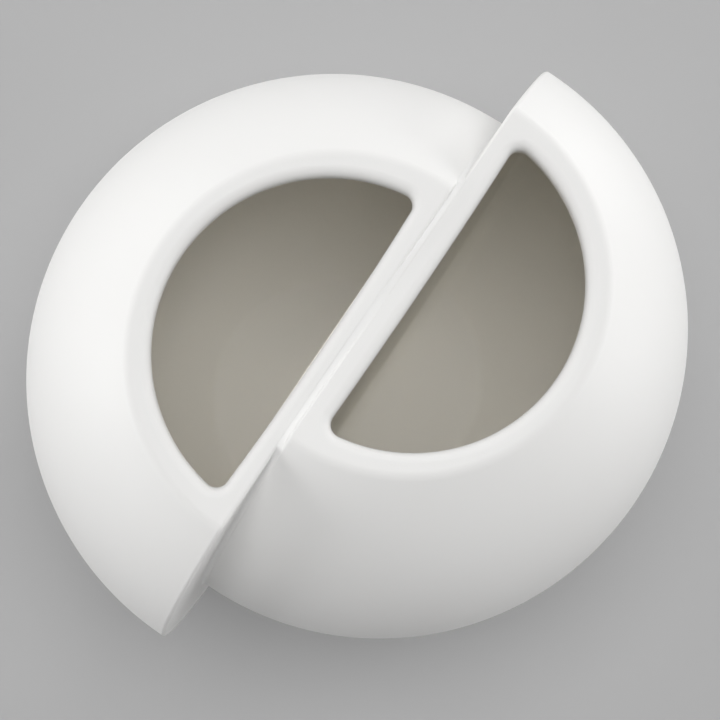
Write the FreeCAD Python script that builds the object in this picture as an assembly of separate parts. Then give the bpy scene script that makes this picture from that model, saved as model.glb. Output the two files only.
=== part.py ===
"""Porcelain wall vase: a round vessel parted by an upright joint, its halves slid along each other.

Each half is a closed vessel with its own floor, flat inner wall and D-shaped mouth.
The left half is modelled; the right half is the same half turned half round about Z, with a
mouth of its own.
"""
import FreeCAD, Part
import math
import os

Vector = FreeCAD.Vector

# All sizes are in millimetres.
# +Z points out of the mouths, and the flat back lies on Z = 0.
# X runs along the joint between the halves, and the left half is on the +Y side.

# The two halves
sphere_radius = 100.0
slide = 20.4
joint_beyond_centre = 1.4
slip_thickness = 0.8
slip_set_in = 0.3
foot_radius = 39.2

# Wall thicknesses
shell_thickness = 5.5
divider_thickness = 6.0
rim_thickness = 6.0
base_thickness = 10.0
inner_rounding = 6.0

# Flat rim, leaning outwards along the joint on a body that slants the same way
rim_radius = 57.2
rim_lean_degrees = 1.5
crown_shift = 2.9
crease_rounding = 5.0

# Outer edges
joint_edge_rounding = 1.1
foot_rounding = 3.0

# D-shaped mouth in the rim
rim_flat_width = 7.7
mouth_centre_shift = 1.6
mouth_corner_radius = 3.6
lip_rounding = 3.2
lip_under_rounding = 2.2

# The mouth's side along the joint bows by hand: towards the joint where the bow is above zero
left_mouth_to_joint = 5.9
left_mouth_bow = 1.1
right_mouth_to_joint = 7.9
right_mouth_bow = -0.6

# Hanging slots in the back: a screw head enters the round hole and slides up behind the lip
hanger_spacing = 60.0
hanger_turn_degrees = 33.3
hanger_travel = 10.0
screw_head_hole_radius = 5.5
screw_shank_slot_width = 6.0
hanger_lip_thickness = 3.0
hanger_pocket_depth = 3.6
hanger_pocket_clearance = 1.0

# Room that cutting solids have past what they cut, and the closeness that counts as touching
overrun = 20.0
touch = 0.001

upward = Vector(0, 0, 1)
away_from_joint = Vector(0, 1, 0)
joint_face = slip_thickness / 2
divider_face = joint_face + divider_thickness
rim_height = math.sqrt(sphere_radius ** 2 - rim_radius ** 2)
centre_height = math.sqrt(sphere_radius ** 2 - foot_radius ** 2)
mouth_radius = rim_radius - rim_flat_width
left_centre = Vector(-slide / 2, joint_face + joint_beyond_centre, centre_height)


def along_mouth_axis(shape):
    """Move a solid drawn about the mouth's axis to its place on the left half."""
    lean = FreeCAD.Rotation(Vector(0, 1, 0), -rim_lean_degrees)
    placed = shape.copy()
    placed.Placement = FreeCAD.Placement(left_centre, lean)
    return placed


def slanted(shape):
    """Slide each level of a solid outwards in step with its height, by the crown's shift at the rim."""
    slant = FreeCAD.Matrix()
    slant.A13 = -crown_shift / rim_height
    return shape.transformGeometry(slant)


def slab(low_z, high_z, low_y, high_y):
    """A flat block wider than the vase, between two heights and two distances from the joint."""
    reach = sphere_radius + slide + overrun
    corner = Vector(-reach, low_y, low_z)
    return Part.makeBox(2 * reach, high_y - low_y, high_z - low_z, corner)


def everywhere():
    """Half the side of a block that holds the whole vase."""
    return 2 * sphere_radius + slide + overrun


def edges_near(shape, outline, distance):
    """The edges whose middle lies within a distance of an outline."""
    found = []
    for edge in shape.Edges:
        middle = edge.valueAt((edge.FirstParameter + edge.LastParameter) / 2)
        if Part.Vertex(middle).distToShape(outline)[0] < distance:
            found.append(edge)
    return found


def edges_in_planes(shape, planes):
    """The edges that lie wholly in any of some planes, each given as its normal and offset."""
    found = []
    for edge in shape.Edges:
        ends = [edge.FirstParameter, edge.LastParameter]
        points = [edge.valueAt(end) for end in ends]
        points.append(edge.valueAt(sum(ends) / 2))
        for normal, offset in planes:
            if all(abs(point.dot(normal) - offset) < touch for point in points):
                found.append(edge)
                break
    return found


def turned_body(set_in):
    """The outside of a whole vessel about its mouth's axis, set in by a distance all over.

    Its section is the sphere's arc, a rounded crease and the flat rim. It is drawn in the plane
    square to the joint, so that the turned face closes on the side away from the joint.
    """
    radius = sphere_radius - set_in
    height = rim_height - set_in
    rounding = crease_rounding
    crease_x = math.sqrt((radius - rounding) ** 2 - (height - rounding) ** 2)
    crease_centre = Vector(0, crease_x, height - rounding)
    flat_end = Vector(0, crease_x, height)
    arc_start = crease_centre * (radius / (radius - rounding))
    outward = (flat_end - crease_centre) + (arc_start - crease_centre)
    crease_middle = crease_centre + outward.normalize() * rounding
    equator = Vector(0, radius, 0)
    bottom = Vector(0, 0, -radius)
    rim_line = Part.LineSegment(Vector(0, 0, height), flat_end).toShape()
    crease = Part.Arc(flat_end, crease_middle, arc_start).toShape()
    side = Part.Arc(arc_start, equator, bottom).toShape()
    axis_line = Part.LineSegment(bottom, Vector(0, 0, height)).toShape()
    section = Part.Face(Part.Wire([rim_line, crease, side, axis_line]))
    return slanted(section.revolve(Vector(0, 0, 0), Vector(0, 0, 1), 360))


def outer_form():
    """The left half as one solid form, with rounded foot and joint edges."""
    body = along_mouth_axis(turned_body(0))
    span = everywhere()
    body = body.common(slab(0, span, -span, span))
    body = body.makeFillet(foot_rounding, edges_in_planes(body, [(upward, 0)]))
    body = body.common(slab(0, span, joint_face, span))
    joint_edges = edges_in_planes(body, [(away_from_joint, joint_face)])
    return body.makeFillet(joint_edge_rounding, joint_edges)


def cavity():
    """The space inside the left half, with its floor and divider curving into the round wall."""
    inside = along_mouth_axis(slanted(Part.makeSphere(sphere_radius - shell_thickness)))
    span = everywhere()
    inside = inside.common(slab(base_thickness, span, divider_face, span))
    flat_sides = [(upward, base_thickness), (away_from_joint, divider_face)]
    inside = inside.makeFillet(inner_rounding, edges_in_planes(inside, flat_sides))
    return inside.cut(rim_region())


def mouth_outline(to_joint, bow, height):
    """The D-shaped mouth: a round arc, a bowed side along the joint and two rounded corners.

    Drawn about the mouth's axis, at a height over the sphere's centre. The bowed side is an arc
    whose radius is below zero where it bows into the mouth.
    """
    side_radius = mouth_radius ** 2 / (2 * bow)
    side_middle = Vector(-crown_shift, to_joint - left_centre.y, height)
    side_centre = side_middle + away_from_joint * side_radius
    circle_centre = Vector(-crown_shift, mouth_centre_shift, height)
    circle_reach = mouth_radius - mouth_corner_radius
    side_reach = side_radius - mouth_corner_radius
    apart = side_centre.y - circle_centre.y
    corner_y = (circle_reach ** 2 - side_reach ** 2 + apart ** 2) / (2 * apart) + circle_centre.y
    corner_x = math.sqrt(circle_reach ** 2 - (corner_y - circle_centre.y) ** 2)
    edges = []
    ends = []
    for side in (-1, 1):
        corner = Vector(side * corner_x - crown_shift, corner_y, height)
        towards_side = (corner - side_centre) * (1 / side_reach)
        outward = (corner - circle_centre).normalize()
        on_side = corner + towards_side * mouth_corner_radius
        on_arc = corner + outward * mouth_corner_radius
        bisector = (outward + towards_side).normalize()
        corner_middle = corner + bisector * mouth_corner_radius
        edges.append(Part.Arc(on_side, corner_middle, on_arc).toShape())
        ends.append((on_side, on_arc))
    far_side = circle_centre + away_from_joint * mouth_radius
    edges.append(Part.Arc(ends[0][0], side_middle, ends[1][0]).toShape())
    edges.append(Part.Arc(ends[0][1], far_side, ends[1][1]).toShape())
    return Part.Wire(Part.__sortEdges__(edges))


def rim_region():
    """Everything above the underside of the left half's leaning rim."""
    span = everywhere()
    underside = rim_height - rim_thickness
    return along_mouth_axis(Part.makeBox(2 * span, 2 * span, span, Vector(-span, -span, underside)))


def rim_plate(form, to_joint, bow):
    """The flat rim with its D-shaped mouth and softly rolled lip."""
    plate = form.common(rim_region())
    underside = rim_height - rim_thickness
    hole = Part.Face(mouth_outline(to_joint, bow, underside - overrun))
    hole = hole.extrude(upward * (rim_thickness + 2 * overrun))
    plate = plate.cut(along_mouth_axis(hole))
    top_outline = along_mouth_axis(mouth_outline(to_joint, bow, rim_height))
    plate = plate.makeFillet(lip_rounding, edges_near(plate, top_outline, touch))
    under_outline = along_mouth_axis(mouth_outline(to_joint, bow, underside))
    return plate.makeFillet(lip_under_rounding, edges_near(plate, under_outline, touch))


def slot_solid(start, end, radius, low_z, high_z):
    """A round-ended slot between two points on the back, from one height to another."""
    along = (end - start).normalize() * radius
    across = Vector(-along.y, along.x, 0)
    level = Vector(0, 0, low_z)
    sides = [Part.LineSegment(start + across + level, end + across + level).toShape()]
    sides.append(Part.Arc(end + across + level, end + along + level, end - across + level).toShape())
    sides.append(Part.LineSegment(end - across + level, start - across + level).toShape())
    sides.append(Part.Arc(start - across + level, start - along + level, start + across + level).toShape())
    return Part.Face(Part.Wire(sides)).extrude(upward * (high_z - low_z))


def with_hanger_slot(base, side):
    """A base with its hanging slot: a hole for the screw head, a slot for its shank and a pocket.

    The side is 1 in the left half and -1 in the right half. Both slots run the same way up the wall.
    """
    turn = math.radians(hanger_turn_degrees)
    up_the_wall = Vector(math.cos(turn), math.sin(turn), 0)
    sideways = Vector(-up_the_wall.y, up_the_wall.x, 0)
    entry = sideways * (side * hanger_spacing / 2)
    rest = entry + up_the_wall * hanger_travel
    pocket_radius = screw_head_hole_radius + hanger_pocket_clearance
    pocket_top = hanger_lip_thickness + hanger_pocket_depth
    shank = slot_solid(entry, rest, screw_shank_slot_width / 2, -overrun, pocket_top)
    pocket = slot_solid(entry, rest, pocket_radius, hanger_lip_thickness, pocket_top)
    head = Part.makeCylinder(screw_head_hole_radius, overrun + pocket_top, entry - upward * overrun)
    return base.cut(shank).cut(pocket).cut(head)


def wall_pieces(form):
    """The left half below its rim: three pieces, parted where a potter lutes them together."""
    span = everywhere()
    walls = form.cut(cavity()).cut(rim_region())
    divider_edge = divider_face + inner_rounding
    base_edge = base_thickness + inner_rounding
    divider = walls.common(slab(0, span, joint_face, divider_edge))
    bowl = walls.cut(slab(0, span, 0, divider_edge))
    base = bowl.common(slab(0, base_edge, 0, span))
    shell = bowl.cut(slab(0, base_edge, 0, span))
    return shell, divider, base


def half_turned(shape):
    """The same solid turned half round about Z, as the right half lies."""
    turned = shape.copy()
    turned.rotate(Vector(0, 0, 0), Vector(0, 0, 1), 180)
    return turned


def slip_joint(form):
    """The slip between the dividers, which also fills the groove between their rounded edges."""
    set_in_body = along_mouth_axis(turned_body(slip_set_in))
    span = everywhere()
    flare = joint_face + joint_edge_rounding
    layer = slab(slip_set_in, span, -flare, flare)
    shared = layer.common(set_in_body).common(half_turned(set_in_body))
    return shared.cut(form).cut(half_turned(form))


def main():
    os.makedirs("parts", exist_ok=True)
    form = outer_form()
    shell, divider, base = wall_pieces(form)
    left_rim = rim_plate(form, left_mouth_to_joint, left_mouth_bow)
    right_rim = rim_plate(form, right_mouth_to_joint, right_mouth_bow)
    nodes = {
        "slip_joint": slip_joint(form),
        "left_shell": shell,
        "left_rim": left_rim,
        "left_divider": divider,
        "left_base": with_hanger_slot(base, 1),
        "right_shell": half_turned(shell),
        "right_rim": half_turned(right_rim),
        "right_divider": half_turned(divider),
        "right_base": with_hanger_slot(half_turned(base), -1),
    }
    for name, shape in nodes.items():
        solid = shape.Solids[0]
        solid.exportStep(os.path.join("parts", name + ".step"))
        box = solid.optimalBoundingBox()
        print(name, "solids", len(shape.Solids), "valid", solid.isValid(), "volume", round(solid.Volume))
        print("    from", [round(value, 2) for value in (box.XMin, box.YMin, box.ZMin)])
        print("    to", [round(value, 2) for value in (box.XMax, box.YMax, box.ZMax)])


main()
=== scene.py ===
import math

import bpy
import numpy as np
from mathutils import Matrix, Vector


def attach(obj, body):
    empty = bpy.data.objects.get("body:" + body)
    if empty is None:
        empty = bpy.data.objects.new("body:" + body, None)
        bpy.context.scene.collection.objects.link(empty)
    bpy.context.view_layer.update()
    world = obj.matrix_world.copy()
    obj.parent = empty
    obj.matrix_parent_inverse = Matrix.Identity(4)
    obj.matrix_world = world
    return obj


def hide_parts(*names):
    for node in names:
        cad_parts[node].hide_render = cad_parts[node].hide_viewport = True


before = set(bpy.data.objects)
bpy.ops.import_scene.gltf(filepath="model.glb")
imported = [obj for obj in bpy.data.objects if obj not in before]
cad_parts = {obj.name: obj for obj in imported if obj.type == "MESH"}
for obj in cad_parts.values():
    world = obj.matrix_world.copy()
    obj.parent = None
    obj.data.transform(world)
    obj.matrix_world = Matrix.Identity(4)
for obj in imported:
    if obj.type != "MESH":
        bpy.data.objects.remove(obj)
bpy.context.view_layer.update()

# Porcelain wall vase: a round vessel parted by an upright joint, its halves slid along each other.
# The left half's surfaces are worked out. The right half's are made the same way, with a mouth and
# a screw slot of its own, and turned half round about Z. Z points out of the mouths, X runs along
# the joint, and the back lies on Z = 0. Sizes are in millimetres, and meshes are in metres.
millimetre = 0.001

# The two halves
sphere_radius = 100.0
slide = 20.4
joint_beyond_centre = 1.4
slip_thickness = 0.8
foot_radius = 39.2

# Wall thicknesses
shell_thickness = 5.5
divider_thickness = 6.0
rim_thickness = 6.0
base_thickness = 10.0
inner_rounding = 6.0

# Flat rim, leaning outwards along the joint on a body that slants the same way
rim_radius = 57.2
rim_lean_degrees = 1.5
crown_shift = 2.9
crease_rounding = 5.0

# Outer edges
joint_edge_rounding = 1.1
foot_rounding = 3.0

# D-shaped mouth in the rim
rim_flat_width = 7.7
mouth_centre_shift = 1.6
mouth_corner_radius = 3.6
lip_rounding = 3.2
lip_under_rounding = 2.2

# The mouth's side along the joint bows by hand: distance to the joint, and bow towards the joint
left_mouth_side = (5.9, 1.1)
right_mouth_side = (7.9, -0.6)

# Hanging slots in the back
hanger_spacing = 60.0
hanger_turn_degrees = 33.3
hanger_travel = 10.0
screw_head_hole_radius = 5.5
screw_shank_slot_width = 6.0
hanger_lip_thickness = 3.0
hanger_pocket_depth = 3.6
hanger_pocket_clearance = 1.0
hanger_edge_rounding = 0.5

# The slip fills the corner beside a half that stands proud, and sinks a little where they are level
slip_fillet = 1.6
slip_sink = 0.16
slip_cover = 0.05
slip_tuck = 0.04
slip_skirt = 2.5

# Fineness of the meshes, in steps. Sections go down a side, over the floor's edge and across the
# floor, the mouth goes round its arc, a corner and its side, and the crown up the ball and the crease.
shell_steps = (64, 200)
divider_steps = (110, 8, 40)
divider_rows = (8, 10, 10)
hollow_rows = (14, 15)
base_steps = (10, 6, 60)
base_columns = 160
slot_edge_steps = 4
mouth_steps = (180, 16, 60)
lip_steps = (12, 8)
crown_steps = (6, 14)
rim_edge_steps = 10
slip_columns = 1200
slip_section_steps = 12
halvings = 48

# Points that round to the same step of this are joined, and divisors are kept this far from zero
join_distance = 0.001
least_divisor = 1e-6

# Directions: out of the mouths, and across the joint into the left half
upright = np.array([0.0, 0.0, 1.0])
across_joint = np.array([0.0, 1.0, 0.0])

# Places that follow from the sizes
joint_face = slip_thickness / 2
mouth_radius = rim_radius - rim_flat_width
centre_height = np.sqrt(sphere_radius ** 2 - foot_radius ** 2)
centre = np.array([-slide / 2, joint_face + joint_beyond_centre, centre_height])
rim_height = np.sqrt(sphere_radius ** 2 - rim_radius ** 2)
under_rim = rim_height - rim_thickness
crease_level = rim_height - crease_rounding
crease_ring = np.sqrt((sphere_radius - crease_rounding) ** 2 - crease_level ** 2)
crease_angle = np.arctan2(crease_level, crease_ring)
slant = crown_shift / rim_height
lean = np.radians(rim_lean_degrees)
foot_normal = np.array([np.sin(lean), 0, np.cos(lean) - slant * np.sin(lean)])
foot_stretch = np.linalg.norm(foot_normal)
foot_tilt = np.arctan2(foot_normal[0], foot_normal[2])
divider_edge = joint_face + divider_thickness + inner_rounding - centre[1]
base_edge = base_thickness + inner_rounding

# The outside of a half and the space inside it are both a sphere over a floor, beside a flat wall,
# with rounded edges between them. Floors are given as depths below the sphere's centre.
outside = {
    "radius": sphere_radius,
    "floor": centre_height / foot_stretch,
    "floor_rounding": foot_rounding,
    "wall_rounding": joint_edge_rounding,
    "wall": joint_face - centre[1],
}
inside = {
    "radius": sphere_radius - shell_thickness,
    "floor": (centre_height - base_thickness) / foot_stretch,
    "floor_rounding": inner_rounding,
    "wall_rounding": inner_rounding,
    "wall": joint_face + divider_thickness - centre[1],
}
for form in (outside, inside):
    form["ring_reach"] = form["radius"] - form["floor_rounding"]
    form["ring_depth"] = form["floor"] - form["floor_rounding"]
    form["ring_radius"] = np.sqrt(form["ring_reach"] ** 2 - form["ring_depth"] ** 2)
    form["contact"] = np.arcsin(form["ring_depth"] / form["ring_reach"])
    form["edge_y"] = form["wall"] + form["wall_rounding"]

# In the flat rim: its corner over the joint, and the point that the lines of its mesh run out from
rim_corner = np.array([np.sqrt(crease_ring ** 2 - outside["edge_y"] ** 2), outside["edge_y"]])
rim_heart = np.array([0.0, mouth_radius / 3])


def steps(count):
    """Even shares from 0 to 1, both included, in count intervals."""
    return np.linspace(0, 1, count + 1)


def stacked(x, y, z):
    """Three arrays, spread to one shape, as points."""
    return np.stack(np.broadcast_arrays(x, y, z), axis=-1).astype(float)


def unit(vectors):
    """Vectors divided by their lengths."""
    return vectors / np.linalg.norm(vectors, axis=-1, keepdims=True)


def from_body(points, normals, slanted=True):
    """Body to vase: each level slides by slant x height, all leans about Y, and moves to the centre.

    Normals turn by the inverse of the same slide. The mouth doesn't slide, and is only shifted.
    """
    cosine, sine = np.cos(lean), np.sin(lean)
    x, y, z = np.moveaxis(points, -1, 0)
    x = x - slant * z if slanted else x - crown_shift
    moved = stacked(x * cosine - z * sine, y, x * sine + z * cosine)
    out, along, up = np.moveaxis(normals, -1, 0)
    up = up + slant * out if slanted else up
    turned = stacked(out * cosine - up * sine, along, out * sine + up * cosine)
    return moved + centre, unit(turned)


def from_foot(x, y, height):
    """Foot to body: the foot's own upright is tilted from the mouth's axis, about Y."""
    across = x * np.cos(foot_tilt) + height * np.sin(foot_tilt)
    up = height * np.cos(foot_tilt) - x * np.sin(foot_tilt)
    return stacked(across, y, up)


def sphere_rows(radius, tilts, heights, wall, around):
    """Rows of the sphere: each is the circle where a plane meets it, from the wall round to the wall.

    The circle's radius is sqrt(radius^2 - height^2), and it starts where its sine times that radius
    is the wall's distance.
    """
    reach = np.sqrt(radius ** 2 - heights ** 2)[:, None]
    first = np.arcsin(wall / reach)
    turn = first + (np.pi - 2 * first) * around[None, :]
    out, height, tilt = reach * np.cos(turn), heights[:, None], tilts[:, None]
    points = stacked(
        out * np.cos(tilt) + height * np.sin(tilt),
        reach * np.sin(turn),
        height * np.cos(tilt) - out * np.sin(tilt),
    )
    return from_body(points, points / radius)


def floor_edge_rows(form, angles, wall, around):
    """Rows of the rounding between sphere and floor: a ring of radius ring + rounding x cos(angle)."""
    reach = (form["ring_radius"] + form["floor_rounding"] * np.cos(angles))[:, None]
    height = (-form["ring_depth"] - form["floor_rounding"] * np.sin(angles))[:, None]
    first = np.arcsin(wall / reach)
    turn = first + (np.pi - 2 * first) * around[None, :]
    level = np.cos(angles)[:, None]
    points = from_foot(reach * np.cos(turn), reach * np.sin(turn), height)
    normals = from_foot(level * np.cos(turn), level * np.sin(turn), -np.sin(angles)[:, None])
    return from_body(points, normals)


def section_columns(form, level_radius, contact_share, edge_out, y, counts, top_radius):
    """Columns of a section along the joint: down one side, over the floor's edge, across, and up.

    The sides are circle arcs of the level's radius, from the underside of the rim down to where
    they meet the floor's rounding. Returns places and outward directions in the foot's frame.
    """
    side_count, edge_count, floor_count = counts
    places, directions = [], []
    lowest = -np.arcsin(contact_share * form["ring_depth"] / level_radius)
    turn = (form["contact"] + (np.pi / 2 - form["contact"]) * steps(edge_count))[None, :]
    reach = form["ring_radius"] + edge_out * np.cos(turn)
    edge_y = y[:, side_count + 1:side_count + edge_count + 2]
    sine = edge_y / reach
    cosine = np.sqrt(1 - sine ** 2)
    for side in (1, -1):
        highest = np.arcsin(under_rim / top_radius) + side * foot_tilt
        angle = highest + (lowest - highest) * steps(side_count)[None, :]
        arc = stacked(side * level_radius * np.cos(angle), y[:, :1], level_radius * np.sin(angle))
        arc_out = stacked(side * np.cos(angle), 0, np.sin(angle))
        edge = stacked(side * reach * cosine, edge_y, -form["ring_depth"] - edge_out * np.sin(turn))
        edge_normal = stacked(side * np.cos(turn) * cosine, np.cos(turn) * sine, -np.sin(turn))
        places.append(np.concatenate([arc, edge], axis=1))
        directions.append(np.concatenate([np.broadcast_to(arc_out, arc.shape), edge_normal], axis=1))
    floor_y = y[:, -1:]
    half = np.sqrt(form["ring_radius"] ** 2 - floor_y ** 2)
    across = half * (1 - 2 * steps(floor_count)[None, :])
    floor = stacked(across, floor_y, -form["ring_depth"] - edge_out)
    floor_out = np.broadcast_to(-upright, floor.shape)
    place = np.concatenate([places[0], floor, places[1][:, ::-1]], axis=1)
    direction = np.concatenate([directions[0], floor_out, directions[1][:, ::-1]], axis=1)
    return place, direction


def wall_edge(form, row_count, counts):
    """Rounding between a half's sphere or floor and its flat wall: a ball rolled along both.

    Each point is the ball's centre + rounding x (cos(angle) x outward - sin(angle) x Y), from where
    the ball touches the sphere or floor to where it touches the wall.
    """
    side_count, edge_count, _ = counts
    rounding, edge_y = form["wall_rounding"], form["edge_y"]
    inset = form["radius"] - rounding
    level = np.sqrt(inset ** 2 - edge_y ** 2)
    rows = steps(row_count)[:, None]
    side_start = np.arcsin(edge_y / inset)
    angle = -side_start + (np.pi / 2 + side_start) * rows
    top_radius = level + rounding * np.cos(angle)
    share, edge_out = inset / form["ring_reach"], form["floor_rounding"] - rounding
    y = np.full((row_count + 1, side_count + edge_count + 3), edge_y)
    centres, outward = section_columns(form, level, share, edge_out, y, counts, top_radius)
    start = np.arcsin(np.clip(outward[..., 1], -1, 1))
    start[:, :side_count + 1] = side_start
    start[:, -side_count - 1:] = side_start
    flat = unit(outward * (1 - across_joint))
    angle = (-start + (np.pi / 2 + start) * rows)[..., None]
    normals = np.cos(angle) * flat - np.sin(angle) * across_joint
    points = centres + rounding * normals
    contact_y = points[:1, :, 1]
    return from_foot(*np.moveaxis(points, -1, 0)), from_foot(*np.moveaxis(normals, -1, 0)), contact_y


def level_rows(form, first_y, contact_y, row_count, counts):
    """Sections of sphere, floor edge and floor at even steps of y, down to where the rounding starts."""
    side_count, edge_count, _ = counts
    radius = form["radius"]
    floor_column = side_count + edge_count + 3
    wanted = contact_y[:, np.append(np.arange(floor_column - 1), floor_column)]
    y = first_y + (wanted - first_y) * steps(row_count)[:, None]
    level = np.sqrt(radius ** 2 - y[:, :1] ** 2)
    share, edge_out = radius / form["ring_reach"], form["floor_rounding"]
    points, normals = section_columns(form, level, share, edge_out, y, counts, level)
    normals[:, :side_count + 1] = points[:, :side_count + 1] / radius
    normals[:, -side_count - 1:] = points[:, -side_count - 1:] / radius
    return from_foot(*np.moveaxis(points, -1, 0)), from_foot(*np.moveaxis(normals, -1, 0))


def wall_rows(form, edge_row, row_count):
    """The flat wall: straight lines from its rounded edge to the middle of its top edge."""
    pole = np.array([0.0, form["wall"], under_rim])
    points = edge_row[None] + (pole - edge_row[None]) * steps(row_count)[:, None, None]
    return points, np.broadcast_to(-across_joint, points.shape)


def strip(first, second, facing):
    """A face between two lines of points, facing one way all over."""
    points = np.stack([first, second])
    return points, np.broadcast_to(np.array(facing, float), points.shape)


def flipped(patch):
    """The same patch, facing the other way."""
    return patch[0], -patch[1]


def shell_patches():
    """The round wall: outer and inner sphere between the base's edge and the underside of the rim.

    Its rows turn evenly from the foot's tilt at the base to the mouth's axis at the rim.
    """
    up_count, around_count = shell_steps
    shares, around = steps(up_count), steps(around_count)
    low = (base_edge - centre_height) / foot_stretch
    axes = (1 - shares)[:, None] * foot_normal / foot_stretch + shares[:, None] * upright
    tilts = np.arctan2(axes[:, 0], axes[:, 2])
    heights = ((1 - shares) * low + shares * under_rim) / np.linalg.norm(axes, axis=1)
    inner_wall = inside["edge_y"] * inside["radius"] / (inside["radius"] - inside["wall_rounding"])
    outer = sphere_rows(outside["radius"], tilts, heights, divider_edge, around)
    inner = flipped(sphere_rows(inside["radius"], tilts, heights, inner_wall, around))
    return [
        outer,
        inner,
        strip(outer[0][0], inner[0][0], (0, 0, -1)),
        strip(outer[0][-1], inner[0][-1], (0, 0, 1)),
        strip(outer[0][:, 0], inner[0][:, 0], (0, -1, 0)),
        strip(outer[0][:, -1], inner[0][:, -1], (0, -1, 0)),
    ]


def divider_patches():
    """The flat wall along the joint, with its rounded outer edge and its turned-in inner edge."""
    level_count, edge_count, face_count = divider_rows
    hollow_count, back_count = hollow_rows
    rounded, rounded_out, contact_y = wall_edge(outside, edge_count, divider_steps)
    levels, levels_out = level_rows(outside, divider_edge, contact_y, level_count, divider_steps)
    face, face_out = wall_rows(outside, rounded[-1], face_count)
    outer = from_body(
        np.concatenate([levels, rounded, face]),
        np.concatenate([levels_out, rounded_out, face_out]),
    )
    hollow, hollow_out, _ = wall_edge(inside, hollow_count, divider_steps)
    back, back_out = wall_rows(inside, hollow[-1], back_count)
    inner = flipped(from_body(np.concatenate([hollow, back]), np.concatenate([hollow_out, back_out])))
    return [
        outer,
        inner,
        strip(outer[0][0], inner[0][0], (0, 1, 0)),
        strip(outer[0][:, 0], inner[0][:, 0], (0, 0, 1)),
        strip(outer[0][:, -1], inner[0][:, -1], (0, 0, 1)),
    ]


def slot_reach(angle, radius):
    """How far a round-ended slot reaches from its entry: to its end's arc, its sides, or its start.

    That is travel x cos(angle) + sqrt(radius^2 - (travel x sin(angle))^2) to the arc at its end,
    radius / sin(angle) to a side, and the radius to its start.
    """
    sine = np.abs(np.sin(angle))
    end = np.where(sine < radius / hanger_travel, hanger_travel * np.cos(angle), 0)
    end = end + np.sqrt(np.maximum(radius ** 2 - (hanger_travel * sine) ** 2, 0))
    side = radius / np.maximum(sine, least_divisor)
    ahead = np.cos(angle) > 0
    past_end = np.arctan2(sine, np.cos(angle)) > np.arctan2(radius, hanger_travel)
    return np.where(ahead & ~past_end, end, np.where(ahead, side, radius))


def hanger_patches(loop, travel_sign):
    """The slot for a screw head: the floor around it, its rounded edge, and the wider pocket behind.

    Every line goes round the entry at the loop's own turns, at a reach and a height of its own.
    """
    turn = np.radians(hanger_turn_degrees)
    entry = np.array([-np.sin(turn), np.cos(turn)]) * hanger_spacing / 2
    around = np.arctan2(loop[:, 1] - entry[1], loop[:, 0] - entry[0])
    slot_angle = around - turn + (0 if travel_sign > 0 else np.pi)
    slot_angle = np.arctan2(np.sin(slot_angle), np.cos(slot_angle))
    shank_slot = slot_reach(slot_angle, screw_shank_slot_width / 2) * (np.cos(slot_angle) > 0)
    narrow = np.maximum(shank_slot, screw_head_hole_radius)
    wide = slot_reach(slot_angle, screw_head_hole_radius + hanger_pocket_clearance)
    top = hanger_lip_thickness + hanger_pocket_depth

    rounds = np.pi / 2 * steps(slot_edge_steps)
    spread = hanger_edge_rounding
    profile = [(narrow + spread * (1 - np.sin(a)), spread * (1 - np.cos(a))) for a in rounds]
    profile += [(narrow, hanger_lip_thickness), (wide, hanger_lip_thickness)]
    profile += [(wide, top), (wide * 0, top)]
    lines = [loop]
    for reach, height in profile:
        x, y = entry[0] + reach * np.cos(around), entry[1] + reach * np.sin(around)
        lines.append(stacked(x, y, height))

    inward = stacked(-np.cos(around), -np.sin(around), 0)
    down = np.broadcast_to(-upright, inward.shape)
    last_round = slot_edge_steps + 1
    round_out = [np.cos(a) * down + np.sin(a) * inward for a in rounds]
    patches = [
        (np.stack(lines[:2]), np.stack([down, down])),
        (np.stack(lines[1:last_round + 1]), np.stack(round_out)),
    ]
    for row, facing in enumerate((inward, -down, inward, down), start=last_round):
        patches.append((np.stack(lines[row:row + 2]), np.stack([facing, facing])))
    return patches


def base_side(form, wall_low, wall_edge_y, around, counts):
    """One face of the base: the sphere's foot, the rounding to the floor, and the chord of the floor."""
    side_count, edge_count, chord_count = counts
    top = (base_edge - centre_height) / foot_stretch
    lowest = -form["ring_depth"] * form["radius"] / form["ring_reach"]
    heights = top + (lowest - top) * steps(side_count)
    tilts = np.full(heights.shape, foot_tilt)
    angles = form["contact"] + (np.pi / 2 - form["contact"]) * steps(edge_count)
    sides = sphere_rows(form["radius"], tilts, heights, wall_low, around)
    edge = floor_edge_rows(form, angles, wall_edge_y(angles), around)
    points, normals = np.concatenate([sides[0], edge[0]]), np.concatenate([sides[1], edge[1]])
    last_wall = wall_edge_y(angles)[-1, 0]
    half = np.sqrt(form["ring_radius"] ** 2 - last_wall ** 2)
    chord = from_foot(half * (2 * steps(chord_count) - 1), last_wall, -form["floor"])
    chord = from_body(chord, np.broadcast_to(-upright, chord.shape))[0]
    loop = np.concatenate([points[-1], chord])
    border = np.concatenate([points[:, 0], chord[::-1], points[::-1, -1]])
    return (points, normals), loop, border


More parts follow.
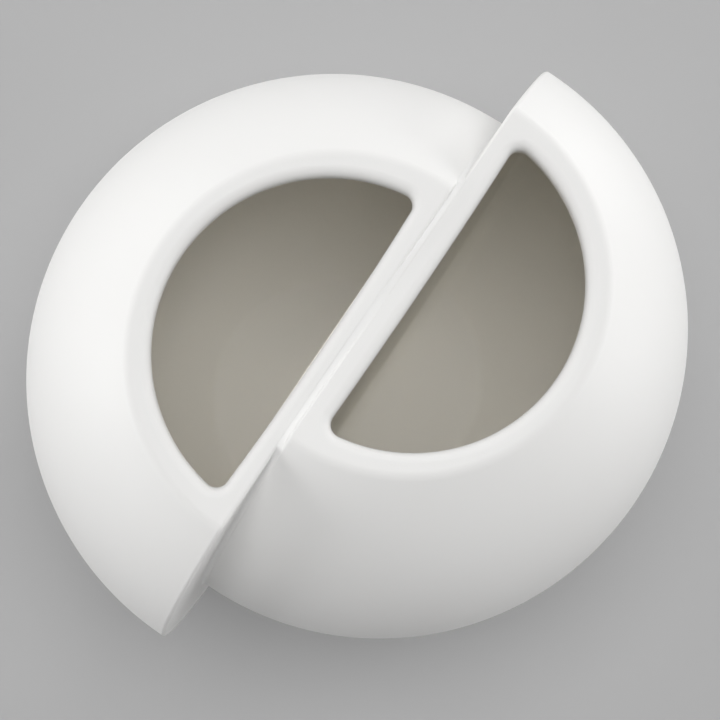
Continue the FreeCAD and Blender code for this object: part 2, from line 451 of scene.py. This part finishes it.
def base_patches(travel_sign):
    """The thick floor: the foot's flat with its hanging slot, and the shallow dish inside."""
    around = steps(base_columns)
    inner_low = inside["edge_y"] * inside["radius"] / (inside["radius"] - inside["wall_rounding"])
    turn_sine = inside["edge_y"] / inside["ring_radius"]

    def outer_wall(angles):
        """Outside, every row ends at the divider's edge."""
        return np.full((len(angles), 1), divider_edge)

    def inner_wall(angles):
        """Inside, every row of the rounding ends at one turn: its reach x the floor ring's sine."""
        reach = inside["ring_radius"] + inside["floor_rounding"] * np.cos(angles)
        return (reach * turn_sine)[:, None]

    outer, outer_loop, outer_border = base_side(outside, divider_edge, outer_wall, around, base_steps)
    inner, inner_loop, inner_border = base_side(inside, inner_low, inner_wall, around, base_steps)
    outer_loop[:, 2] = 0
    middle = inner_loop.mean(axis=0)
    dish = strip(inner_loop, np.broadcast_to(middle, inner_loop.shape), (0, 0, 1))
    return [
        outer,
        flipped(inner),
        dish,
        strip(outer[0][0], inner[0][0], (0, 0, 1)),
        strip(outer_border, inner_border, (0, -1, 0)),
    ] + hanger_patches(outer_loop, travel_sign)


def crown_profile(angle):
    """The body's profile by the elevation of its normal: up the sphere, then round the crease's arc.

    Either is an arc's centre + its radius x (cos(angle), sin(angle)).
    """
    cosine, sine = np.cos(angle), np.sin(angle)
    on_sphere = angle < crease_angle
    reach = np.where(on_sphere, sphere_radius * cosine, crease_ring + crease_rounding * cosine)
    height = np.where(on_sphere, sphere_radius * sine, crease_level + crease_rounding * sine)
    return reach, height


def mouth_corner(mouth_side):
    """The centre of the mouth's corner arc at +X, and the bowed side's radius and centre along Y.

    The corner's arc touches the mouth's arc and the bowed side from inside, so its distances from
    their centres are their radii less its own. The side's radius is half the mouth's radius squared
    over the bow, and is below zero where the side bows into the mouth.
    """
    to_joint, bow = mouth_side
    side_radius = mouth_radius ** 2 / (2 * bow)
    side_y = to_joint - centre[1] + side_radius
    reach, side_reach = mouth_radius - mouth_corner_radius, side_radius - mouth_corner_radius
    apart = side_y - mouth_centre_shift
    corner_y = (reach ** 2 - side_reach ** 2 + apart ** 2) / (2 * apart) + mouth_centre_shift
    corner_x = np.sqrt(reach ** 2 - (corner_y - mouth_centre_shift) ** 2)
    return np.array([corner_x, corner_y]), side_radius, side_y


def mouth_line(mouth_side, split, counts):
    """The D-shaped mouth's outline and outward normals, round from the corner at +X and back to it.

    It is a round arc, two corner arcs and a bowed side along the joint. The corner arcs are
    divided at the split angle, so that the columns before and after it are told apart.
    """
    arc_count, corner_count, side_count = counts
    (corner_x, corner_y), side_radius, side_y = mouth_corner(mouth_side)
    join = np.arctan2(corner_y - mouth_centre_shift, corner_x)
    towards_side = np.array([corner_x, corner_y - side_y]) / (side_radius - mouth_corner_radius)
    start = np.arctan2(towards_side[1], towards_side[0])
    outer_corner = split + (join - split) * steps(corner_count)
    inner_corner = start + (split - start) * steps(corner_count)
    arc = join + (np.pi - 2 * join) * steps(arc_count)
    side_x = (corner_x + mouth_corner_radius * towards_side[0]) * (2 * steps(side_count) - 1)
    side_turn = np.arcsin(side_x / side_radius)
    side_angle = -np.pi / 2 + side_turn
    angles = [outer_corner, arc, (np.pi - outer_corner)[::-1], (np.pi - inner_corner)[::-1]]
    angles += [side_angle, inner_corner]
    centre_x = [corner_x, 0, -corner_x, -corner_x, 0, corner_x]
    centre_y = [corner_y, mouth_centre_shift, corner_y, corner_y, side_y, corner_y]
    radii = [mouth_corner_radius, mouth_radius, mouth_corner_radius, mouth_corner_radius]
    radii += [side_radius, mouth_corner_radius]
    points, normals = [], []
    for angle, x, y, radius in zip(angles, centre_x, centre_y, radii):
        points.append(stacked(x + radius * np.cos(angle), y + radius * np.sin(angle), 0 * angle))
        normals.append(stacked(np.cos(angle), np.sin(angle), 0 * angle))
    first_side_column = 2 * (corner_count + 1) + arc_count + 1
    return np.concatenate(points), np.concatenate(normals), first_side_column


def corner_split(mouth_side):
    """The angle on the mouth's corner arc where the line to the rim's corner crosses the lip's edge."""
    towards = unit(rim_corner - rim_heart)
    corner_x, corner_y = mouth_corner(mouth_side)[0]
    beside = (corner_y - rim_heart[1]) * towards[0] - corner_x * towards[1]
    past = np.arcsin(beside / (mouth_corner_radius + lip_rounding))
    return np.arctan2(towards[1], towards[0]) - past


def mouth_lip(line, outward):
    """The rolled lip: a quarter round from the flat rim down into the mouth, and one back under it.

    Each point is the mouth's line + rounding x (1 - sin(turn)) outwards, and rounding x cos(turn)
    above the height of the round's centre.
    """
    over_count, under_count = lip_steps
    over = np.pi / 2 * steps(over_count)
    under = np.pi / 2 * (1 + steps(under_count))
    spread = np.concatenate([
        lip_rounding * (1 - np.sin(over)),
        lip_under_rounding * (1 - np.sin(under)),
    ])
    height = np.concatenate([
        rim_height + lip_rounding * (np.cos(over) - 1),
        under_rim + lip_under_rounding * (np.cos(under) + 1),
    ])
    turn = np.concatenate([over, under])[:, None, None]
    points = line + spread[:, None, None] * outward + height[:, None, None] * upright
    return from_body(points, np.cos(turn) * upright - np.sin(turn) * outward, slanted=False)


def rim_border(line, outward, first):
    """The flat rim's edge: where lines from its heart through the lip's edge meet crease or joint.

    Columns from first on run along the joint. The others meet the crease's circle at a distance of
    sqrt(along^2 - heart^2 + ring^2) - along, where along is the heart's length along the line.
    """
    ray = unit((line + lip_rounding * outward)[:, :2] - rim_heart)
    along = ray @ rim_heart
    distance = np.sqrt(along ** 2 - rim_heart @ rim_heart + crease_ring ** 2) - along
    to_joint = (outside["edge_y"] - rim_heart[1]) / np.minimum(ray[:, 1], -least_divisor)
    distance[first:] = to_joint[first:]
    border = rim_heart + distance[:, None] * ray
    border[[0, -1]] = rim_corner
    border[[first - 1, first]] = rim_corner * np.array([-1, 1])
    return stacked(border[:, 0], border[:, 1], rim_height)


def crown_patch(border):
    """The body beside the rim and the crease's round, in columns that follow the border's turns."""
    sphere_count, crease_count = crown_steps
    low_angle = np.arcsin(under_rim / sphere_radius)
    angles = np.concatenate([
        low_angle + (crease_angle - low_angle) * steps(sphere_count),
        crease_angle + (np.pi / 2 - crease_angle) * steps(crease_count)[1:],
    ])[:, None]
    reach, level = crown_profile(angles)
    start = np.arcsin(outside["edge_y"] / (reach - joint_edge_rounding * np.cos(angles)))
    turn = np.unwrap(np.arctan2(border[:, 1], border[:, 0]))
    around = start + (np.pi - 2 * start) * (turn - turn[0]) / (turn[-1] - turn[0])
    points = stacked(reach * np.cos(around), reach * np.sin(around), level)
    out = np.cos(angles)
    return from_body(points, stacked(out * np.cos(around), out * np.sin(around), np.sin(angles)))


def rim_edge(joint_line):
    """The rounded edge from crown and flat rim to the joint's face: a ball rolled along them.

    Each point is the ball's centre + rounding x (cos(turn) x outward - sin(turn) x Y). Over the
    crown the outward direction is the profile's, and over the rim it points straight up.
    """
    rounding, edge_y = joint_edge_rounding, outside["edge_y"]
    sphere_count, crease_count = crown_steps
    rows = steps(rim_edge_steps)[:, None]
    sphere_start = np.arcsin(edge_y / (sphere_radius - rounding))
    row_angle = -sphere_start + (np.pi / 2 + sphere_start) * rows
    row_reach = sphere_radius - rounding + rounding * np.cos(row_angle) / np.cos(sphere_start)
    first_angle = np.arcsin(under_rim / row_reach)
    up_sphere = first_angle + (crease_angle - first_angle) * steps(sphere_count)
    up_crease = crease_angle + (np.pi / 2 - crease_angle) * steps(crease_count)[1:]
    angle = np.concatenate([up_sphere, np.broadcast_to(up_crease, (len(rows), crease_count))], axis=1)

    reach, level = crown_profile(angle)
    inset = reach - rounding * np.cos(angle)
    sine = edge_y / inset
    cosine = np.sqrt(1 - sine ** 2)
    begin = np.arcsin(np.cos(angle) * sine)
    turn = (-begin + (np.pi / 2 + begin) * rows)[..., None]
    sides = []
    for side in (1, -1):
        ball = stacked(side * inset * cosine, edge_y, level - rounding * np.sin(angle))
        flat = unit(stacked(side * np.cos(angle) * cosine, 0, np.sin(angle)))
        normal = np.cos(turn) * flat - np.sin(turn) * across_joint
        sides.append((ball + rounding * normal, normal))

    turn = (np.pi / 2 * rows)[..., None]
    top_out = np.cos(turn) * upright - np.sin(turn) * across_joint
    top_out = np.broadcast_to(top_out, (len(rows), len(joint_line), 3))
    top = stacked(joint_line[::-1, 0], edge_y, rim_height - rounding) + rounding * top_out
    points = np.concatenate([sides[0][0], top, sides[1][0][:, ::-1]], axis=1)
    return points, np.concatenate([sides[0][1], top_out, sides[1][1][:, ::-1]], axis=1)


def rim_patches(mouth_side):
    """The rim: the mouth's rolled lip, the flat band, the crease, the joint's edge and the underside."""
    line, outward, first = mouth_line(mouth_side, corner_split(mouth_side), mouth_steps)
    lip = mouth_lip(line, outward)
    border = rim_border(line, outward, first)
    border_line, border_out = from_body(border, np.broadcast_to(upright, border.shape))
    band = np.stack([lip[0][0], border_line]), np.stack([lip[1][0], border_out])
    crown = crown_patch(border[:first])
    edge_points, edge_out = rim_edge(border[first:])
    edge = from_body(edge_points, edge_out)

    face_top = edge_points[-1]
    face_points = np.stack([face_top, stacked(face_top[:, 0], outside["wall"], under_rim)])
    face = from_body(face_points, np.broadcast_to(-across_joint, face_points.shape))

    outer_loop = [crown[0][0], edge[0][:, -1], face[0][1, ::-1], edge[0][::-1, 0]]
    under, beside = lip[0][-1], len(edge[0]) + len(crown[0])
    inner_loop = [
        under[:first],
        np.repeat(under[[first - 1]], beside, axis=0),
        under[first:],
        np.repeat(under[[-1]], beside, axis=0),
    ]
    underside = strip(np.concatenate(inner_loop), np.concatenate(outer_loop), (0, 0, -1))
    return [lip, band, crown, edge, face, underside]


def outer_depth(x, y, z):
    """How far a point lies outside the left half's rounded body: beyond sphere, crease or rim."""
    across, up = x - centre[0], z - centre[2]
    along_axis = up * np.cos(lean) - across * np.sin(lean)
    level_x = across * np.cos(lean) + up * np.sin(lean) + slant * along_axis
    reach = np.hypot(level_x, y - centre[1])
    from_crease = np.hypot(reach - crease_ring, along_axis - crease_level) - crease_rounding
    from_sphere = np.hypot(reach, along_axis) - sphere_radius
    above_crease = np.where(reach < crease_ring, along_axis - rim_height, from_crease)
    return np.where(np.arctan2(along_axis, reach) > crease_angle, above_crease, from_sphere)


def half_reach(turn, side):
    """How far a half's outside lies from the middle of the joint along each ray, by bisection.

    The side is 1 for the left half and -1 for the right one, which is the left turned half round.
    """
    low, high = np.zeros(turn.shape), np.full(turn.shape, 2 * sphere_radius)
    for _ in range(halvings):
        middle = (low + high) / 2
        x, z = middle * np.cos(turn), centre_height + middle * np.sin(turn)
        past = np.maximum(outer_depth(side * x, outside["edge_y"] + centre[1], z), -z) > 0
        low, high = np.where(past, low, middle), np.where(past, middle, high)
    return (low + high) / 2


def slip_ends(turn):
    """The lower half's reach, and how far aside and out the slip touches the right and left half.

    It touches each half's rounded edge, or its flat face where that stands proud of the fillet.
    """
    rounding = joint_edge_rounding
    reach = {side: half_reach(turn, side) for side in (-1, 1)}
    near = np.minimum(reach[-1], reach[1])
    aside, level = {}, {}
    for side in (-1, 1):
        rise = np.minimum(near + slip_fillet, reach[side] - slip_cover)
        past_face = np.maximum(rise - reach[side] + rounding, 0)
        out = joint_face + rounding - np.sqrt(rounding ** 2 - past_face ** 2) + slip_tuck
        aside[side], level[side] = side * out, rise - slip_tuck
    return near, aside, level


def slip_patches():
    """The slip along the joint, wiped to a hollow fillet in the corner beside the prouder half.

    Its section is a curve (1 - u)^2 A + 2 u (1 - u) C + u^2 B between a point A on the right half
    and B on the left one. C is the corner below the prouder end, and moves to the middle, a little
    sunk, where both are level.
    """
    turn = 2 * np.pi * steps(slip_columns)
    near, aside, level = slip_ends(turn)
    step = level[1] - level[-1]
    share = np.clip(np.abs(step) / slip_fillet, 0, 1)
    corner_y = share * np.where(step > 0, aside[1], aside[-1])
    corner_level = np.minimum(level[-1], level[1]) - slip_sink * (1 - share)

    x, z = near * np.cos(turn), near * np.sin(turn)
    column = np.arange(slip_columns)
    ahead, behind = np.roll(column, -1), np.roll(column, 1)
    normal_x, normal_z = z[ahead] - z[behind], x[behind] - x[ahead]
    outward = unit(stacked(np.append(normal_x, normal_x[0]), 0, np.append(normal_z, normal_z[0])))

    lines, normals = [], []
    for u in steps(slip_section_steps):
        first, middle, last = (1 - u) ** 2, 2 * u * (1 - u), u ** 2
        y = first * aside[-1] + middle * corner_y + last * aside[1]
        outer = first * level[-1] + middle * corner_level + last * level[1]
        slope_y = (1 - u) * (corner_y - aside[-1]) + u * (aside[1] - corner_y)
        slope_out = (1 - u) * (corner_level - level[-1]) + u * (level[1] - corner_level)
        lines.append(stacked(outer * np.cos(turn), y, centre_height + outer * np.sin(turn)))
        normals.append(unit(slope_y[:, None] * outward - slope_out[:, None] * across_joint))

    skirt = near - slip_skirt
    first = stacked(skirt * np.cos(turn), -joint_face, centre_height + skirt * np.sin(turn))
    last = first + slip_thickness * across_joint
    middle = centre_height * upright
    poles = [np.broadcast_to(middle + y * across_joint, first.shape) for y in (-joint_face, joint_face)]
    flat = np.broadcast_to(across_joint, first.shape)
    points = np.stack([poles[0], first] + lines + [last, poles[1]])
    return [(points, np.stack([-flat, -flat] + normals + [flat, flat]))]


def patch_faces(points, normals, first):
    """Two triangles for each cell of a patch, wound so that they face along its normals."""
    rows, columns = points.shape[:2]
    index = first + np.arange(rows * columns).reshape(rows, columns)
    a, b, c, d = index[:-1, :-1], index[:-1, 1:], index[1:, 1:], index[1:, :-1]
    triangles = np.stack([np.stack([a, b, c], -1), np.stack([a, c, d], -1)]).reshape(-1, 3)
    flat = points.reshape(-1, 3)[triangles - first]
    facing = np.cross(flat[:, 1] - flat[:, 0], flat[:, 2] - flat[:, 0])
    wanted = normals.reshape(-1, 3)[triangles - first].sum(axis=1)
    if (facing * wanted).sum() < 0:
        triangles = triangles[:, ::-1]
    return triangles


def closed_mesh(name, patches, half_turn):
    """Patches as one closed mesh: shared edges are joined, and each corner keeps its patch's normal."""
    faces, count = [], 0
    for points, normals in patches:
        faces.append(patch_faces(points, normals, count))
        count += points.shape[0] * points.shape[1]
    faces = np.concatenate(faces)
    turned = np.array([-1.0, -1.0, 1.0]) if half_turn else np.ones(3)
    points = turned * np.concatenate([patch[0].reshape(-1, 3) for patch in patches])
    normals = turned * np.concatenate([patch[1].reshape(-1, 3) for patch in patches])
    keys = np.round(points / join_distance).astype(np.int64)
    _, kept, joined = np.unique(keys, axis=0, return_index=True, return_inverse=True)
    corners = joined.reshape(-1)[faces]
    whole = (corners != np.roll(corners, 1, axis=1)).all(axis=1)
    faces, corners = faces[whole], corners[whole]
    mesh = bpy.data.meshes.new(name)
    mesh.vertices.add(len(kept))
    mesh.vertices.foreach_set("co", (points[kept] * millimetre).astype(np.float32).ravel())
    mesh.loops.add(corners.size)
    mesh.loops.foreach_set("vertex_index", corners.astype(np.int32).ravel())
    mesh.polygons.add(len(corners))
    mesh.polygons.foreach_set("loop_start", np.arange(0, corners.size, 3, dtype=np.int32))
    mesh.update(calc_edges=True)
    mesh.shade_smooth()
    mesh.normals_split_custom_set(normals[faces.ravel()].tolist())
    return mesh


def shown_piece(name, patches, material, node, half_turn=False):
    """A finished piece in place of its solid."""
    mesh = closed_mesh(name, patches, half_turn)
    mesh.materials.append(material)
    piece = bpy.data.objects.new(name, mesh)
    bpy.context.scene.collection.objects.link(piece)
    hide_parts(node)
    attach(piece, "root")


# Finishes

porcelain_white = (0.845, 0.841, 0.831, 1)
porcelain_warm = (0.83, 0.825, 0.812, 1)
# Painted light: the inside tones are lighter and warmer than the outside's, and stand in for light that
# fills the hollows
inside_painted_light = (0.982, 0.955, 0.888, 1)
inside_painted_light_warm = (0.972, 0.942, 0.872, 1)
slip_white = (0.85, 0.846, 0.836, 1)
ground_grey = (0.455, 0.455, 0.457, 1)
ground_light = (0.465, 0.465, 0.467, 1)

# The painted light inside the hollows begins inside the walls and the base, between these shares of
# their thickness
wall_painted_light_shares = (0.4, 0.6)
base_painted_light_shares = (0.7, 0.9)

# The clouds in the porcelain change its roughness by this much either way
roughness_drift = 0.05


def shader_node(nodes, kind, **values):
    """A new shader node with its inputs set."""
    node = nodes.new(kind)
    for name, value in values.items():
        node.inputs[name.replace("_", " ")].default_value = value
    return node


def calculated(tree, operation, first, second=None):
    """A maths node's output, fed by outputs of other nodes or by numbers."""
    node = tree.nodes.new("ShaderNodeMath")
    node.operation = operation
    for socket, value in zip(node.inputs, (first, second)):
        if isinstance(value, bpy.types.NodeSocket):
            tree.links.new(value, socket)
        elif value is not None:
            socket.default_value = value
    return node.outputs["Value"]


def ramp(tree, value, start, end):
    """A share that goes smoothly from 0 at start to 1 at end, both in millimetres."""
    node = tree.nodes.new("ShaderNodeMapRange")
    node.interpolation_type = "SMOOTHSTEP"
    node.inputs["From Min"].default_value = start * millimetre
    node.inputs["From Max"].default_value = end * millimetre
    tree.links.new(value, node.inputs["Value"])
    return node.outputs["Result"]


def painted_inside_light_share(tree, place):
    """1 on the walls of the hollow of either half, where painted light makes the colour lighter and
    warmer, and 0 outside, on the rims and the foot.

    The right half is folded onto the left one by a half turn. The hollow lies nearer the half's
    centre than the middle of its shell, beyond the middle of its divider, above most of its base,
    where no screw slot reaches, and under its rim.
    """
    parts = tree.nodes.new("ShaderNodeSeparateXYZ")
    tree.links.new(place, parts.inputs["Vector"])
    half = calculated(tree, "SIGN", parts.outputs["Y"])
    folded = tree.nodes.new("ShaderNodeCombineXYZ")
    tree.links.new(calculated(tree, "MULTIPLY", parts.outputs["X"], half), folded.inputs["X"])
    aside = calculated(tree, "ABSOLUTE", parts.outputs["Y"])
    tree.links.new(aside, folded.inputs["Y"])
    tree.links.new(parts.outputs["Z"], folded.inputs["Z"])
    reach = tree.nodes.new("ShaderNodeVectorMath")
    reach.operation = "DISTANCE"
    tree.links.new(folded.outputs["Vector"], reach.inputs[0])
    reach.inputs[1].default_value = centre * millimetre
    top = centre_height + under_rim
    shell_span = [sphere_radius - share * shell_thickness for share in wall_painted_light_shares]
    divider_span = [joint_face + share * divider_thickness for share in wall_painted_light_shares]
    base_span = [share * base_thickness for share in base_painted_light_shares]
    in_shell = ramp(tree, reach.outputs["Value"], *shell_span)
    past_divider = ramp(tree, aside, *divider_span)
    over_base = ramp(tree, parts.outputs["Z"], *base_span)
    under_lip = ramp(tree, parts.outputs["Z"], top + rim_thickness / 2, top)
    walls = calculated(tree, "MULTIPLY", in_shell, past_divider)
    levels = calculated(tree, "MULTIPLY", over_base, under_lip)
    return calculated(tree, "MULTIPLY", walls, levels)


def clouded(tree, clouds, first_tone, second_tone):
    """A colour that drifts between two tones with the clouds."""
    tone = tree.nodes.new("ShaderNodeMix")
    tone.data_type = "RGBA"
    tone.inputs["A"].default_value = first_tone
    tone.inputs["B"].default_value = second_tone
    tree.links.new(clouds, tone.inputs["Factor"])
    return tone.outputs["Result"]


def porcelain(name, tones, painted_inside_tones, roughness, grain):
    """Satin porcelain: slow clouds of warmer white, painted light that makes the hollows lighter and
    warmer, a fine grain, a slow wave.
    """
    material = bpy.data.materials.new(name)
    material.use_nodes = True
    tree = material.node_tree
    nodes, links = tree.nodes, tree.links
    shader = nodes["Principled BSDF"]
    place = nodes.new("ShaderNodeTexCoord").outputs["Object"]
    clouds = shader_node(nodes, "ShaderNodeTexNoise", Scale=22.0, Detail=4.0, Roughness=0.55)
    fine = shader_node(nodes, "ShaderNodeTexNoise", Scale=1400.0, Detail=3.0, Roughness=0.6)
    waves = shader_node(nodes, "ShaderNodeTexNoise", Scale=9.0, Detail=2.0, Roughness=0.4)
    for texture in (clouds, fine, waves):
        links.new(place, texture.inputs["Vector"])
    # Painted light: the hollows take the lighter, warmer inside tones in place of light that reaches
    # them
    painted_inside_light = nodes.new("ShaderNodeMix")
    painted_inside_light.data_type = "RGBA"
    links.new(painted_inside_light_share(tree, place), painted_inside_light.inputs["Factor"])
    links.new(clouded(tree, clouds.outputs["Fac"], *tones), painted_inside_light.inputs["A"])
    links.new(clouded(tree, clouds.outputs["Fac"], *painted_inside_tones), painted_inside_light.inputs["B"])
    links.new(painted_inside_light.outputs["Result"], shader.inputs["Base Color"])
    gloss = shader_node(nodes, "ShaderNodeMapRange")
    gloss.inputs["To Min"].default_value = roughness - roughness_drift
    gloss.inputs["To Max"].default_value = roughness + roughness_drift
    links.new(clouds.outputs["Fac"], gloss.inputs["Value"])
    links.new(gloss.outputs["Result"], shader.inputs["Roughness"])
    grain_bump = shader_node(nodes, "ShaderNodeBump", Strength=grain, Distance=0.00008)
    wave_bump = shader_node(nodes, "ShaderNodeBump", Strength=0.35, Distance=0.0006)
    links.new(waves.outputs["Fac"], wave_bump.inputs["Height"])
    links.new(fine.outputs["Fac"], grain_bump.inputs["Height"])
    links.new(wave_bump.outputs["Normal"], grain_bump.inputs["Normal"])
    links.new(grain_bump.outputs["Normal"], shader.inputs["Normal"])
    shader.inputs["IOR"].default_value = 1.5
    shader.inputs["Specular IOR Level"].default_value = 0.3
    return material


def ground_finish():
    """Plain matt ground whose grey drifts faintly between two tones."""
    material = bpy.data.materials.new("ground")
    material.use_nodes = True
    tree = material.node_tree
    shader = tree.nodes["Principled BSDF"]
    place = tree.nodes.new("ShaderNodeTexCoord").outputs["Object"]
    clouds = shader_node(tree.nodes, "ShaderNodeTexNoise", Scale=3.0, Detail=3.0, Roughness=0.5)
    tree.links.new(place, clouds.inputs["Vector"])
    tone = clouded(tree, clouds.outputs["Fac"], ground_grey, ground_light)
    tree.links.new(tone, shader.inputs["Base Color"])
    shader.inputs["Roughness"].default_value = 0.9
    shader.inputs["Specular IOR Level"].default_value = 0.1
    return material


def ground(radius=1.2, gap=0.00002, corner_count=120):
    """The flat round ground under the vase, a hair below its back. Sizes are in metres."""
    turn = 2 * np.pi * steps(corner_count)[:-1]
    corners = stacked(radius * np.cos(turn), radius * np.sin(turn), -gap)
    mesh = bpy.data.meshes.new("ground")
    mesh.from_pydata(corners.tolist(), [], [tuple(range(corner_count))])
    mesh.materials.append(ground_finish())
    floor = bpy.data.objects.new("ground", mesh)
    bpy.context.scene.collection.objects.link(floor)


# View: almost straight down on the mouths, as the photograph has it, in metres, radians and pixels

view_distance = 0.4738
view_target = Vector((0, 0, 0.092))
view_tilt_x = 0.1482
view_tilt_y = 0.0449
view_roll = 0.9753
focal_pixels = 1421.2
picture_pixels = 720
picture_shift_pixels = (2.01, -4.12)


def view_axes():
    """The directions from the vase to the camera, to the picture's right and to its top."""
    back = Vector((-np.sin(view_tilt_x), -np.sin(view_tilt_y) * np.cos(view_tilt_x),
                   np.cos(view_tilt_x) * np.cos(view_tilt_y)))
    right = Vector((np.cos(view_roll), -np.sin(view_roll), 0))
    right = (right - right.dot(back) * back).normalized()
    return back, right, back.cross(right)


def camera():
    """The camera at the photograph's distance, tilt and turn."""
    back, right, top = view_axes()
    data = bpy.data.cameras.new("camera")
    data.sensor_width = 36
    data.lens = focal_pixels / picture_pixels * data.sensor_width
    data.shift_x, data.shift_y = (shift / picture_pixels for shift in picture_shift_pixels)
    data.clip_start = 0.01
    eye = bpy.data.objects.new("camera", data)
    turn = Matrix((right, top, back)).transposed().to_4x4()
    eye.matrix_world = Matrix.Translation(view_target + view_distance * back) @ turn
    bpy.context.scene.collection.objects.link(eye)
    bpy.context.scene.camera = eye


# Soft round lamps: turn in degrees from the picture's top to its right, rise over the ground in
# degrees, width in metres and power in watts, all at one distance in metres
lamp_distance = 1.5
lamps = {
    "over_the_mouths": (0, 88, 1.2, 17.7),
    "low_top": (0, 8, 0.8, 3.9),
    "low_right": (50, 8, 0.8, 7.7),
    "upper_left": (-45, 8, 0.8, 4.5),
    "low_left": (-90, 8, 0.8, 9.8),
    "lower_left": (-125, 8, 0.6, 1.5),
    "right": (95, 8, 0.8, 7.4),
    "below": (160, 6, 0.6, 2.4),
}

# The room gives almost no light, and shows the ground's grey beyond the ground and in reflections
room_light = 0.01
room_grey = 0.38


def light():
    """Soft lamps set round the vase at one distance and aimed at it."""
    _, right, top = view_axes()
    across, along = Vector((right.x, right.y, 0)).normalized(), Vector((top.x, top.y, 0)).normalized()
    for name, (turn, rise, size, power) in lamps.items():
        turn, rise = math.radians(turn), math.radians(rise)
        level = math.sin(turn) * across + math.cos(turn) * along
        towards = math.cos(rise) * level + Vector((0, 0, math.sin(rise)))
        data = bpy.data.lights.new(name, "AREA")
        data.shape = "DISK"
        data.size = size
        data.energy = power
        lamp = bpy.data.objects.new(name, data)
        lamp.location = view_target + lamp_distance * towards
        lamp.rotation_euler = towards.to_track_quat("Z", "Y").to_euler()
        bpy.context.scene.collection.objects.link(lamp)
    world = bpy.data.worlds.new("studio")
    world.use_nodes = True
    tree = world.node_tree
    room = tree.nodes["Background"]
    room.inputs["Color"].default_value = (1, 1, 1, 1)
    rays = tree.nodes.new("ShaderNodeLightPath").outputs
    seen = calculated(tree, "MAXIMUM", rays["Is Camera Ray"], rays["Is Glossy Ray"])
    seen = calculated(tree, "MAXIMUM", seen, rays["Is Transmission Ray"])
    shown = calculated(tree, "MULTIPLY", seen, room_grey - room_light)
    tree.links.new(calculated(tree, "ADD", shown, room_light), room.inputs["Strength"])
    bpy.context.scene.world = world


def build_vase():
    """All pieces of both halves and the slip between them."""
    # The inside tones are painted light, lighter and warmer than the outside's
    painted_inside_light = inside_painted_light, inside_painted_light_warm
    body_tones, slip_tones = (porcelain_white, porcelain_warm), (slip_white, porcelain_white)
    body = porcelain("satin_porcelain", body_tones, painted_inside_light, roughness=0.52, grain=0.25)
    joint = porcelain("joint_slip", slip_tones, painted_inside_light, roughness=0.46, grain=0.15)
    shell, divider = shell_patches(), divider_patches()

    # Half turn or not, side of the mouth, and the way the screw slot runs
    halves = {
        "left": (False, left_mouth_side, 1),
        "right": (True, right_mouth_side, -1),
    }
    for half, (half_turn, mouth_side, travel_sign) in halves.items():
        parts = {
            "shell": shell,
            "divider": divider,
            "rim": rim_patches(mouth_side),
            "base": base_patches(travel_sign),
        }
        for part, patches in parts.items():
            node = half + "_" + part
            shown_piece(node + "_porcelain", patches, body, node, half_turn)
    shown_piece("slip_between_halves", slip_patches(), joint, "slip_joint")


build_vase()
ground()
camera()
light()
bpy.context.scene.view_settings.view_transform = "Standard"
